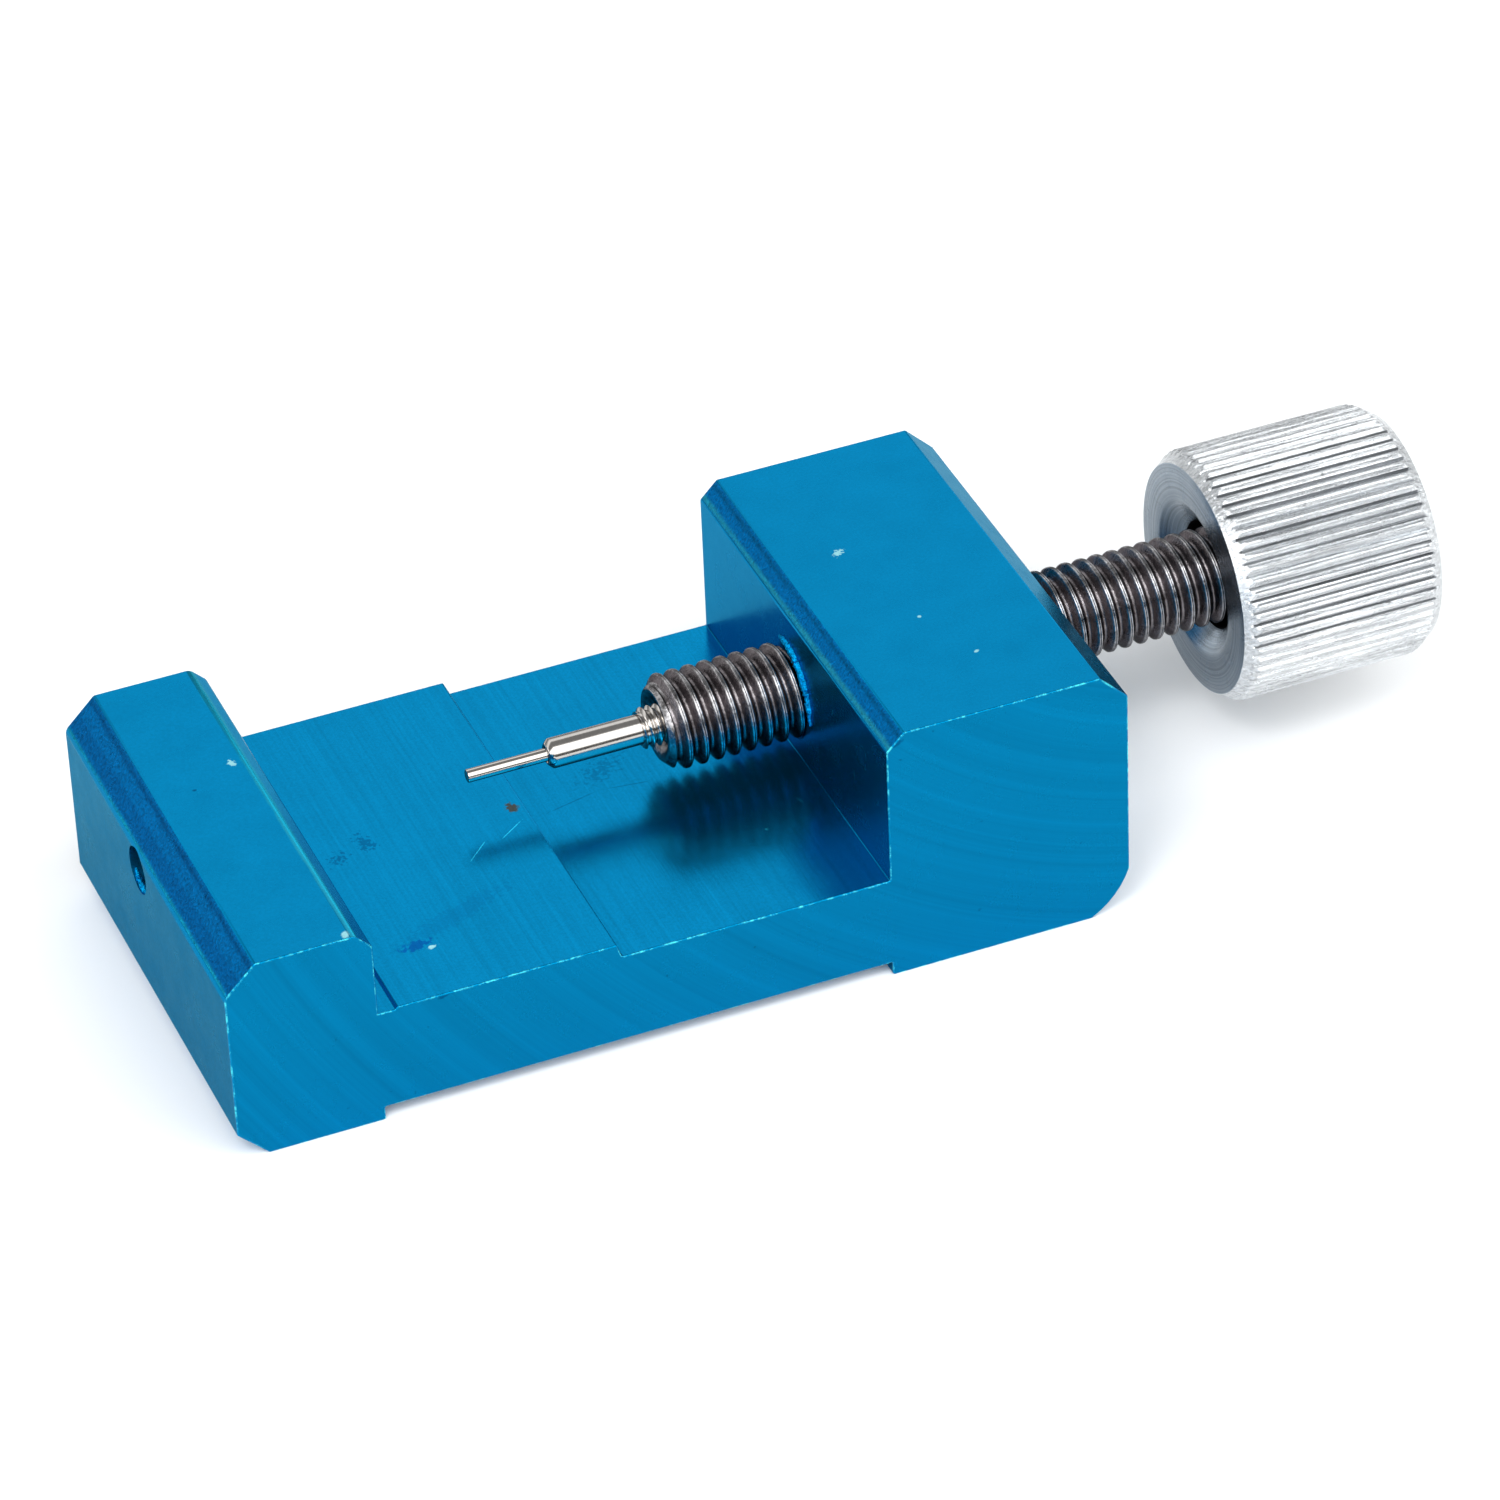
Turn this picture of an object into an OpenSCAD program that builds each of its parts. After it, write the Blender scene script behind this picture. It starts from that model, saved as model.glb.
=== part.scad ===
// Bracelet link-pin press: an aluminium block, a screw with a knurled knob and a replaceable punch.
// X runs along the screw towards the knob, Y across the block, Z up from the feet.

/* [Block] */
// Length of the block along the screw
body_l = 55; // [40:1:90]
// Width of the block
body_w = 28; // [20:1:45]
// Height of the threaded end
block_h = 17; // [15.5:0.5:26]
// Height of the anvil end
anvil_h = 13.4; // [12.6:0.2:20]
// Length of the anvil along the screw
anvil_l = 8.8; // [6:0.2:14]
// Length of the threaded end along the screw
block_l = 15; // [10:0.5:22]
// Height of the upper floor beside the anvil
upper_floor_z = 7.7; // [6:0.1:9]
// Height of the lower floor beside the threaded end
lower_floor_z = 6.8; // [4:0.1:7.2]
// Distance from the anvil's outer face to the step between the floors
floor_step_x = 23.2; // [16:0.2:30]
// Bevel on the anvil's outer top edge
anvil_outer_bevel = 1.9; // [0.4:0.1:3]
// Bevel on the anvil's inner top edge
anvil_inner_bevel = 1; // [0.2:0.1:2]
// Bevel on the threaded end's inner top edge
block_inner_bevel = 1.1; // [0.2:0.1:2]
// Bevel on the threaded end's outer top edge
block_outer_bevel = 1.75; // [0.4:0.1:2.2]
// Bevel at the bottom edge under the anvil
foot_bevel_anvil = 1.8; // [0.4:0.1:3]
// Run of the bevel at the bottom edge under the threaded end
foot_bevel_run = 2.4; // [0.6:0.1:4]
// Rise of the bevel at the bottom edge under the threaded end
foot_bevel_rise = 2.9; // [0.6:0.1:4]
// How far that bevel bulges outwards at its middle
foot_bulge = 0.35; // [0:0.05:0.5]
// Depth of the recess between the two feet
foot_recess = 0.9; // [0.3:0.1:2]
// Width of the shallow relief at the foot of the anvil
relief_w = 1.2; // [0.4:0.1:3]
// Depth of the shallow relief at the foot of the anvil
relief_d = 0.15; // [0.05:0.05:0.6]

/* [Screw axis] */
// Clearance between the screw's crests and the upper floor
floor_gap = 0.08; // [0.05:0.01:0.5]
// Sideways offset of the screw axis from the middle of the block
axis_y = 0.8; // [-3:0.1:3]

/* [Exit hole] */
// Diameter of the exit hole through the anvil
exit_d = 2.9; // [1.6:0.1:3.2]
// How far the exit hole sits below the screw axis
exit_drop = 0.7; // [0:0.1:1]
// How far the exit hole sits to the side of the screw axis
exit_shift = 0.5; // [-0.6:0.1:0.6]

/* [Thread] */
// Outer diameter of the screw thread
thread_d = 5.84; // [5:0.02:8]
// Thread pitch
pitch = 1; // [0.8:0.05:1.5]
// Radial depth of the screw thread, as a share of the pitch
thread_share = 0.58; // [0.5:0.01:0.6]
// Clearance between the flanks of screw and block
flank_gap = 0.11; // [0.08:0.01:0.16]
// Radial clearance over the screw's crests
crest_gap = 0.14; // [0.1:0.01:0.3]

/* [Screw] */
// Gap from the block's outer face to the knob at the pose shown
knob_gap = 11; // [6:0.5:16]
// Distance from the screw's front end to the block's inner face at the pose shown
screw_reach = 8.4; // [4:0.2:14]
// Bevel on the screw's front end
screw_end_bevel = 0.7; // [0.2:0.1:1]
// Diameter of the plain stem pressed into the knob
stem_d = 4.2; // [3:0.1:4.4]
// Interference of the pressed joints, per side
press = 0.01; // [0:0.005:0.02]

/* [Knob] */
// Outer diameter of the knob
knob_d = 15.4; // [12:0.2:19]
// Length of the knob
knob_l = 12.9; // [9:0.1:20]
// Radial bevel on the knob's edges
knob_bevel_r = 0.63; // [0.3:0.01:1.2]
// Axial bevel on the knob's edges
knob_bevel_x = 0.95; // [0.3:0.05:1.5]
// Number of knurl teeth
knurl_count = 62; // [30:1:90]
// Depth of the knurl
knurl_depth = 0.42; // [0.1:0.02:0.6]
// How much of each tooth's sharp edge is turned off
knurl_flat = 0.05; // [0.02:0.01:0.1]
// Diameter of the dished recess in the knob's face
dish_d = 9.6; // [7:0.1:11]
// Depth of the dished recess
dish_h = 0.9; // [0.3:0.1:2]
// Radial clearance around the screw in the knob's mouth
mouth_gap = 0.43; // [0.2:0.01:0.8]
// Depth of the clearance hole, from the knob's face
mouth_h = 3; // [1.5:0.1:5]
// Thickness left behind the stem's blind hole
knob_back = 2; // [1:0.1:4]

/* [Punch holder] */
// Diameter of the punch holder
holder_d = 1.8; // [1.4:0.1:2.4]
// Length of the holder in front of its thread
holder_l = 5.8; // [3:0.1:10]
// Bevel on the holder's front edge
holder_bevel = 0.3; // [0.1:0.05:0.5]
// Outer diameter of the holder's thread
collar_d = 2.5; // [2.2:0.1:3.4]
// Length of holder thread seen in front of the screw
collar_l = 1; // [0.4:0.1:3]
// Pitch of the holder's thread
collar_pitch = 0.45; // [0.3:0.05:0.7]
// Depth of the holder's thread
collar_depth = 0.2; // [0.1:0.02:0.3]
// Diameter of the holder's root inside the screw
root_d = 2.1; // [1.9:0.1:2.8]
// Length of the holder's root inside the screw
root_l = 4; // [2:0.1:8]

/* [Punch] */
// Diameter of the punch
punch_d = 0.8; // [0.6:0.1:1.2]
// Length of punch in front of the holder
punch_l = 4.9; // [2:0.1:8]
// Length of punch inside the holder
punch_hold = 4; // [2:0.1:6]
// Bevel on the punch's tip
punch_bevel = 0.06; // [0.02:0.01:0.15]
// Radial clearance between punch and holder
punch_gap = 0.03; // [0.02:0.01:0.08]

/* [Hidden] */
round_fn = 96;
eps = 0.01;
thread_steps = 16;
foot_steps = 6;
block_x = body_l - block_l;
knob_x = body_l + knob_gap;
knob_end = knob_x + knob_l;
mid_x = knob_end / 2;
screw_x = block_x - screw_reach;
thread_end = knob_x + mouth_h;
stem_end = knob_end - knob_back;
holder_base = screw_x - collar_l;
holder_x = holder_base - holder_l;
punch_x = holder_x - punch_l;
half_tan = tan(30);
thread_r = thread_d / 2;
thread_depth = thread_share * pitch;
axis_z = upper_floor_z + thread_r + floor_gap;
mouth_r = thread_r + mouth_gap;
root_r = thread_r - thread_depth;
crest_w = pitch / 8;
root_w = pitch - crest_w - 2 * thread_depth * half_tan;
nut_crest_r = thread_r + crest_gap;
nut_root_r = root_r + crest_gap;
nut_crest_w = crest_w + 2 * (flank_gap / cos(30)) - 2 * crest_gap * half_tan;
nut_root_w = pitch - nut_crest_w - 2 * (nut_crest_r - nut_root_r) * half_tan;
rod_start = screw_x - 2 * pitch;
rod_turns = floor((thread_end - rod_start) / pitch) - 1;
mesh_shift = (root_w - nut_root_w) / 2;
nut_start = rod_start + pitch * floor((block_x - 2 * pitch - rod_start) / pitch) + mesh_shift;
nut_turns = ceil((body_l - nut_start) / pitch) + 2;

// Every node is drawn from the anvil's outer face and the block's middle, then centred.
module centred() {
    translate([-mid_x, 0, 0])
        children();
}

// Turns the Z axis of a shape onto the screw axis.
module along_screw(x) {
    translate([x, axis_y, axis_z])
        rotate([0, 90, 0])
            children();
}

// A closed right-hand thread: four rows a turn, joined at the seam one turn further on.
module thread_rod(x, turns, low_r, high_r, low_w, high_w) {
    n = thread_steps;
    flank = (pitch - low_w - high_w) / 2;
    row_x = [0, low_w, low_w + flank, low_w + flank + high_w];
    row_r = [low_r, low_r, high_r, high_r];
    rows = 4 * turns;
    grid = [for (m = [0:rows - 1]) for (j = [0:n - 1])
        let (a = 360 * j / n)
        [x + pitch * floor(m / 4) + row_x[m % 4] + pitch * j / n,
         row_r[m % 4] * cos(a), row_r[m % 4] * sin(a)]];
    first = [x + pitch / 2, 0, 0];
    last = [x + pitch * turns - pitch / 2, 0, 0];
    front = rows * n;
    back = front + 1;
    walls = [for (m = [0:rows - 2]) for (j = [0:n - 2])
        each quad(m * n + j, m * n + n + j, m * n + n + j + 1, m * n + j + 1)];
    seam = [for (m = [0:rows - 6])
        each quad(m * n + n - 1, m * n + 2 * n - 1, (m + 5) * n, (m + 4) * n)];
    front_ring = [for (j = [0:n - 2]) [front, j, j + 1]];
    front_step = [for (k = [0:3]) [front, (k + 1) * n, k * n]];
    back_ring = [for (j = [0:n - 2]) [back, (rows - 1) * n + j + 1, (rows - 1) * n + j]];
    back_step = [for (k = [1:4]) [back, (rows - k - 1) * n + n - 1, (rows - k) * n + n - 1]];
    ends = [[front, n - 1, 4 * n], [back, (rows - 1) * n, (rows - 5) * n + n - 1]];
    polyhedron(
        concat(grid, [first, last]),
        concat(walls, seam, front_ring, front_step, back_ring, back_step, ends)
    );
}

function quad(a, b, c, d) = [[a, b, c], [a, c, d]];

// The block's side outline, from the anvil's foot round to the recess between the feet.
module side_outline() {
    polygon([
        [foot_bevel_anvil, 0],
        [0, foot_bevel_anvil],
        [0, anvil_h - anvil_outer_bevel],
        [anvil_outer_bevel, anvil_h],
        [anvil_l - anvil_inner_bevel, anvil_h],
        [anvil_l, anvil_h - anvil_inner_bevel],
        [anvil_l, upper_floor_z - relief_d],
        [anvil_l + relief_w - relief_d, upper_floor_z - relief_d],
        [anvil_l + relief_w, upper_floor_z],
        [floor_step_x, upper_floor_z],
        [floor_step_x + (upper_floor_z - lower_floor_z) / 3, lower_floor_z],
        [block_x, lower_floor_z],
        [block_x, block_h - block_inner_bevel],
        [block_x + block_inner_bevel, block_h],
        [body_l - block_outer_bevel, block_h],
        [body_l, block_h - block_outer_bevel],
        for (i = [0:foot_steps]) foot_round(i / foot_steps),
        [block_x, 0],
        [block_x, foot_recess],
        [anvil_l, foot_recess],
        [anvil_l, 0]
    ]);
}

// A point on the bulging bevel, t running from its top end to its bottom end.
function foot_round(t) =
    let (chord = norm([foot_bevel_run, foot_bevel_rise]), out = 4 * foot_bulge * t * (1 - t) / chord)
    [body_l - foot_bevel_run * t + out * foot_bevel_rise,
     foot_bevel_rise * (1 - t) - out * foot_bevel_run];

module body() {
    color("DeepSkyBlue")
    centred()
    difference() {
        translate([0, body_w / 2, 0])
            rotate([90, 0, 0])
                linear_extrude(height = body_w)
                    side_outline();
        translate([-eps, axis_y + exit_shift, axis_z - exit_drop])
            rotate([0, 90, 0])
                cylinder(h = anvil_l + 2 * eps, d = exit_d, $fn = round_fn);
        translate([0, axis_y, axis_z])
            thread_rod(nut_start, nut_turns, nut_root_r, nut_crest_r, nut_root_w, nut_crest_w);
    }
}

module screw() {
    color("DimGray")
    centred()
    difference() {
        union() {
            translate([0, axis_y, axis_z])
                thread_rod(rod_start, rod_turns, root_r, thread_r, root_w, crest_w);
            along_screw(thread_end - 2 * pitch)
                cylinder(h = stem_end - thread_end + 2 * pitch, d = stem_d, $fn = round_fn);
        }
        along_screw(screw_x - 3 * pitch)
            rotate_extrude($fn = round_fn)
                polygon([
                    [0, 0],
                    [thread_d, 0],
                    [thread_d, 3 * pitch + thread_d - thread_r + screw_end_bevel],
                    [thread_r - screw_end_bevel, 3 * pitch],
                    [0, 3 * pitch]
                ]);
        along_screw(screw_x - eps)
            cylinder(h = root_l + eps, d = root_d, $fn = round_fn);
    }
}

module knob() {
    color("Silver")
    centred()
    along_screw(knob_x)
    difference() {
        intersection() {
            rotate_extrude($fn = round_fn)
                polygon([
                    [0, 0],
                    [knob_d / 2 - knob_bevel_r, 0],
                    [knob_d / 2, knob_bevel_x],
                    [knob_d / 2, knob_l - knob_bevel_x],
                    [knob_d / 2 - knob_bevel_r, knob_l],
                    [0, knob_l]
                ]);
            translate([0, 0, -eps])
                linear_extrude(height = knob_l + 2 * eps)
                    knurl_outline();
        }
        translate([0, 0, -eps])
            rotate_extrude($fn = round_fn)
                polygon([
                    [0, 0],
                    [dish_d / 2 + eps, 0],
                    [mouth_r, dish_h],
                    [mouth_r, mouth_h],
                    [stem_d / 2 - press, mouth_h],
                    [stem_d / 2 - press, knob_l - knob_back],
                    [0, knob_l - knob_back]
                ]);
    }
}

module knurl_outline() {
    top_r = knob_d / 2 + knurl_flat;
    polygon([for (i = [0:2 * knurl_count - 1])
        let (r = top_r - (i % 2) * (knurl_depth + knurl_flat), a = 180 * i / knurl_count)
        [r * cos(a), r * sin(a)]]);
}

module punch_holder() {
    color("Gainsboro")
    centred()
    along_screw(holder_x)
    rotate_extrude($fn = round_fn)
        polygon(concat(
            [
                [punch_d / 2 + punch_gap, 0],
                [holder_d / 2 - holder_bevel, 0],
                [holder_d / 2, holder_bevel],
                [holder_d / 2, holder_l]
            ],
            [for (i = [0:floor(collar_l / collar_pitch) - 1]) each collar_ridge(i)],
            [
                [root_d / 2 + press, holder_l + collar_l],
                [root_d / 2 + press, holder_l + collar_l + root_l - eps],
                [0, holder_l + collar_l + root_l - eps],
                [0, punch_hold + punch_gap],
                [punch_d / 2 + punch_gap, punch_hold + punch_gap]
            ]
        ));
}

function collar_ridge(i) = [
    [collar_d / 2 - collar_depth, holder_l + i * collar_pitch],
    [collar_d / 2, holder_l + (i + 0.35) * collar_pitch],
    [collar_d / 2, holder_l + (i + 0.65) * collar_pitch],
    [collar_d / 2 - collar_depth, holder_l + (i + 1) * collar_pitch]
];

module punch() {
    color("WhiteSmoke")
    centred()
    along_screw(punch_x)
    rotate_extrude($fn = round_fn)
        polygon([
            [0, 0],
            [punch_d / 2 - punch_bevel, 0],
            [punch_d / 2, punch_bevel],
            [punch_d / 2, punch_l + punch_hold],
            [0, punch_l + punch_hold]
        ]);
}

body();
screw();
knob();
punch_holder();
punch();
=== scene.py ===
import math
import random

import bmesh
import bpy
from mathutils import Euler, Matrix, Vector


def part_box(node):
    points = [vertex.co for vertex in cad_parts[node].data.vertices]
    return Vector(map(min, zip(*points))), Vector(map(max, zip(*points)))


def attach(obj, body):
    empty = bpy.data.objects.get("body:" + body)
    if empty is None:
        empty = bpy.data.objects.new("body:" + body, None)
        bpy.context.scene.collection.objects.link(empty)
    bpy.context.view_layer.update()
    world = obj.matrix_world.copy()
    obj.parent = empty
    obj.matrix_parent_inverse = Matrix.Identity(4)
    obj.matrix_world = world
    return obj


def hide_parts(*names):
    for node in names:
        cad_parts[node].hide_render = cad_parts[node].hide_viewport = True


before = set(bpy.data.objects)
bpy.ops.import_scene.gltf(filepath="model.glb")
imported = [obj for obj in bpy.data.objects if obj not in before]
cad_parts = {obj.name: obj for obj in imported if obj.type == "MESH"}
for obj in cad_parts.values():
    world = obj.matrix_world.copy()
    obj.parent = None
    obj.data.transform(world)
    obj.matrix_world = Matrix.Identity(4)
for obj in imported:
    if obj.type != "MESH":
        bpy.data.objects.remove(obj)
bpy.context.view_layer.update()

MM = 0.001
TAU = 2 * math.pi

# ---------------------------------------------------------------- driving sizes, in millimetres
BLOCK_L, BLOCK_W, BLOCK_H = 55.0, 28.0, 17.0
ANVIL_L, ANVIL_H = 8.8, 13.4
THREADED_L = 15.0
UPPER_FLOOR, LOWER_FLOOR = 7.7, 6.8
STEP_AT = 23.2
ANVIL_OUTER, ANVIL_INNER = 1.9, 1.0
THREADED_INNER, THREADED_OUTER = 1.1, 1.75
FOOT_ANVIL, FOOT_RECESS = 1.8, 0.9
FOOT_RUN, FOOT_RISE, FOOT_BULGE = 2.4, 2.9, 0.35
FOOT_STEPS = 6
RELIEF_W, RELIEF_D = 1.2, 0.15
STEP_RUN = (UPPER_FLOOR - LOWER_FLOOR) / 3
EDGE_SOFTNESS = 0.09
EXIT_R, EXIT_DROP, EXIT_SHIFT = 1.45, 0.7, 0.5
PITCH, THREAD_DEPTH, CREST_GAP, FLANK_GAP = 1.0, 0.58, 0.14, 0.07
CREST_W, FLANK_SLOPE = 0.28, math.tan(math.radians(24))
ROOT_FILLET, CREST_FILLET = 0.04, 0.07
END_BEVEL, STEM_R = 0.7, 2.1
SEAT_R, SEAT_LIP, SEAT_D = 1.15, 0.12, 0.9
KNOB_BEVEL_R, KNOB_BEVEL_X = 0.63, 0.95
KNURL_TEETH, KNURL_DEPTH = 62, 0.42
KNURL_SHAPE = (0.0, 0.08, 0.42, 0.55, 1.0, 0.62, 0.5, 0.12)
KNURL_VALLEY = 4
DISH_R, DISH_D, MOUTH_R, MOUTH_D = 4.8, 0.9, 3.35, 3.0
HOLDER_R, HOLDER_L, HOLDER_BEVEL = 0.9, 5.8, 0.3
COLLAR_R, COLLAR_PITCH, COLLAR_DEPTH, COLLAR_BEVEL = 1.25, 0.45, 0.22, 0.18
PUNCH_BEVEL, PUNCH_GAP = 0.06, 0.04

# ---------------------------------------------------------------- how finely things are drawn
ARC_STEPS = 4
NUT_STEPS, SCREW_STEPS, COLLAR_STEPS = 48, 72, 64
BEVEL_ROWS, GRIP_ROWS = 16, 8
SQUARE, BROAD_MM2 = 0.9999, 6


def extent(node):
    """Lowest and highest corner of a CAD node, in millimetres."""
    low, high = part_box(node)
    return low / MM, high / MM


BODY_LOW = extent("body")[0]
SCREW_LOW, SCREW_HIGH = extent("screw")
KNOB_LOW, KNOB_HIGH = extent("knob")
HOLDER_LOW = extent("punch_holder")[0]
PUNCH_LOW, PUNCH_HIGH = extent("punch")
X0 = BODY_LOW.x
WALL = BLOCK_L - THREADED_L
AXIS_Y = (PUNCH_LOW.y + PUNCH_HIGH.y) / 2
AXIS_Z = (PUNCH_LOW.z + PUNCH_HIGH.z) / 2
SCREW_X = SCREW_LOW.x
WALL_X = X0 + BLOCK_L - THREADED_L
END_X = X0 + BLOCK_L
THREAD_R = (SCREW_HIGH.z - SCREW_LOW.z) / 2
ROOT_R = THREAD_R - THREAD_DEPTH


# ---------------------------------------------------------------- mesh helpers
def piece(name, bm, body, node, materials, sharp, prismatic=False):
    """Turns a bmesh in millimetres into a piece that stands for a CAD node.

    Edges sharper than sharp degrees stay crisp. A prismatic piece keeps its broad or square faces flat.
    """
    bmesh.ops.scale(bm, vec=(MM, MM, MM), verts=bm.verts)
    bmesh.ops.recalc_face_normals(bm, faces=bm.faces)
    limit = math.radians(sharp)
    for f in bm.faces:
        square = max(abs(c) for c in f.normal) > SQUARE
        f.smooth = not (prismatic and (square or f.calc_area() > BROAD_MM2 * MM * MM))
    for e in bm.edges:
        e.smooth = not (len(e.link_faces) == 2 and e.calc_face_angle(0) > limit)
    mesh = bpy.data.meshes.new(name)
    bm.to_mesh(mesh)
    bm.free()
    obj = bpy.data.objects.new(name, mesh)
    bpy.context.scene.collection.objects.link(obj)
    for m in materials:
        mesh.materials.append(m)
    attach(obj, body)
    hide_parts(node)


def on_axis(x, r, angle):
    """The point at a radius and an angle about the screw axis."""
    return Vector((x, AXIS_Y + r * math.cos(angle), AXIS_Z + r * math.sin(angle)))


def from_axis(point):
    """Distance from the screw axis."""
    return math.hypot(point.y - AXIS_Y, point.z - AXIS_Z)


def narrow(vert, most):
    """Pulls a vertex in towards the screw axis until it is no further out than most."""
    r = from_axis(vert.co)
    if r > most > 0:
        dy, dz = vert.co.y - AXIS_Y, vert.co.z - AXIS_Z
        vert.co.y = AXIS_Y + dy * most / r
        vert.co.z = AXIS_Z + dz * most / r


def lathe(bm, profile, steps):
    """Turns (x, r) points round the screw axis; a point at r 0 becomes one vertex."""
    rings = []
    for x, r in profile:
        if r < 1e-6:
            rings.append([bm.verts.new(on_axis(x, 0, 0))])
        else:
            rings.append([bm.verts.new(on_axis(x, r, TAU * i / steps)) for i in range(steps)])
    for a, b in zip(rings, rings[1:]):
        join_rings(bm, a, b)


def join_rings(bm, a, b):
    """Faces between two closed rings of vertices, either of which may be a single vertex."""
    steps = max(len(a), len(b))
    for i in range(steps):
        j = (i + 1) % steps
        if len(a) == 1:
            bm.faces.new((a[0], b[i], b[j]))
        elif len(b) == 1:
            bm.faces.new((a[i], a[j], b[0]))
        else:
            bm.faces.new((a[i], a[j], b[j], b[i]))


def helix(bm, x, turns, profile, pitch, steps):
    """A closed right-hand thread. profile is (share of a turn, r) points over one pitch."""
    k = len(profile)
    rows = k * turns
    grid = []
    for m in range(rows):
        share, r = profile[m % k]
        base = x + pitch * (m // k + share)
        grid.append([bm.verts.new(on_axis(base + pitch * j / steps, r, TAU * j / steps))
                     for j in range(steps)])
    for m in range(rows - 1):
        for j in range(steps - 1):
            bm.faces.new((grid[m][j], grid[m + 1][j], grid[m + 1][j + 1], grid[m][j + 1]))
    for m in range(rows - k - 1):
        bm.faces.new((grid[m][-1], grid[m + 1][-1], grid[m + k + 1][0], grid[m + k][0]))
    first = bm.verts.new(on_axis(x + pitch / 2, 0, 0))
    last = bm.verts.new(on_axis(x + pitch * (turns - 0.5), 0, 0))
    front = grid[0] + [grid[m][0] for m in range(k, 0, -1)]
    back = grid[-1][::-1] + [grid[-1 - k][-1]] + [grid[m][-1] for m in range(rows - k, rows - 1)]
    for loop, hub in ((front, first), (back, last)):
        for a, b in zip(loop, loop[1:] + loop[:1]):
            bm.faces.new((hub, a, b))


def cut(target, tool):
    """Takes the tool's solid out of the target's, and removes the tool."""
    m = target.modifiers.new("cut", "BOOLEAN")
    m.operation = "DIFFERENCE"
    m.solver = "EXACT"
    m.object = tool
    dg = bpy.context.evaluated_depsgraph_get()
    mesh = bpy.data.meshes.new_from_object(target.evaluated_get(dg))
    target.modifiers.clear()
    old = target.data
    target.data = mesh
    bpy.data.meshes.remove(old)
    bpy.data.objects.remove(tool)


def temporary(bm, name):
    """Turns a bmesh in millimetres into an object for cutting, at a thousand times its real size."""
    bmesh.ops.recalc_face_normals(bm, faces=bm.faces)
    mesh = bpy.data.meshes.new(name)
    bm.to_mesh(mesh)
    bm.free()
    obj = bpy.data.objects.new(name, mesh)
    bpy.context.scene.collection.objects.link(obj)
    return obj


# ---------------------------------------------------------------- materials
MARK_SOFTNESS = 0.35


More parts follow.
